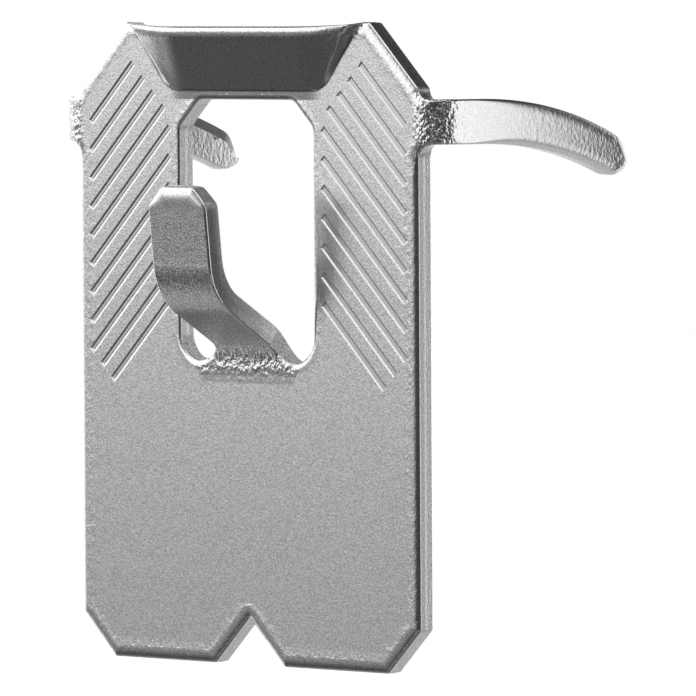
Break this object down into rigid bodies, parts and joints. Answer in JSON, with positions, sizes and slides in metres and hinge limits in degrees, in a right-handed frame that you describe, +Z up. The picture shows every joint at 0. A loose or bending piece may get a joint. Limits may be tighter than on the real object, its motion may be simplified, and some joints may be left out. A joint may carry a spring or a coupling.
{
  "type": "picture hook for plasterboard",
  "caption": "Stamped steel plate that lies flat on a wall, with curved claws turned into the plasterboard, a thumb ledge at its head and an upturned hook folded out of its window.",
  "frame": {"origin": "centre of the rear face of the plate, which lies on the wall", "axes": "+Y into the wall, along the claws; +Z up; +X to the viewer's right"},
  "size_m": [0.0386, 0.0254, 0.0446],
  "materials": {
    "steel": "satin tumbled steel with a thin bright zinc plating, coarse grained where the sheet is bent"
  },
  "bodies": {
    "root": {"hanger": "steel"}
  },
  "joints": []
}
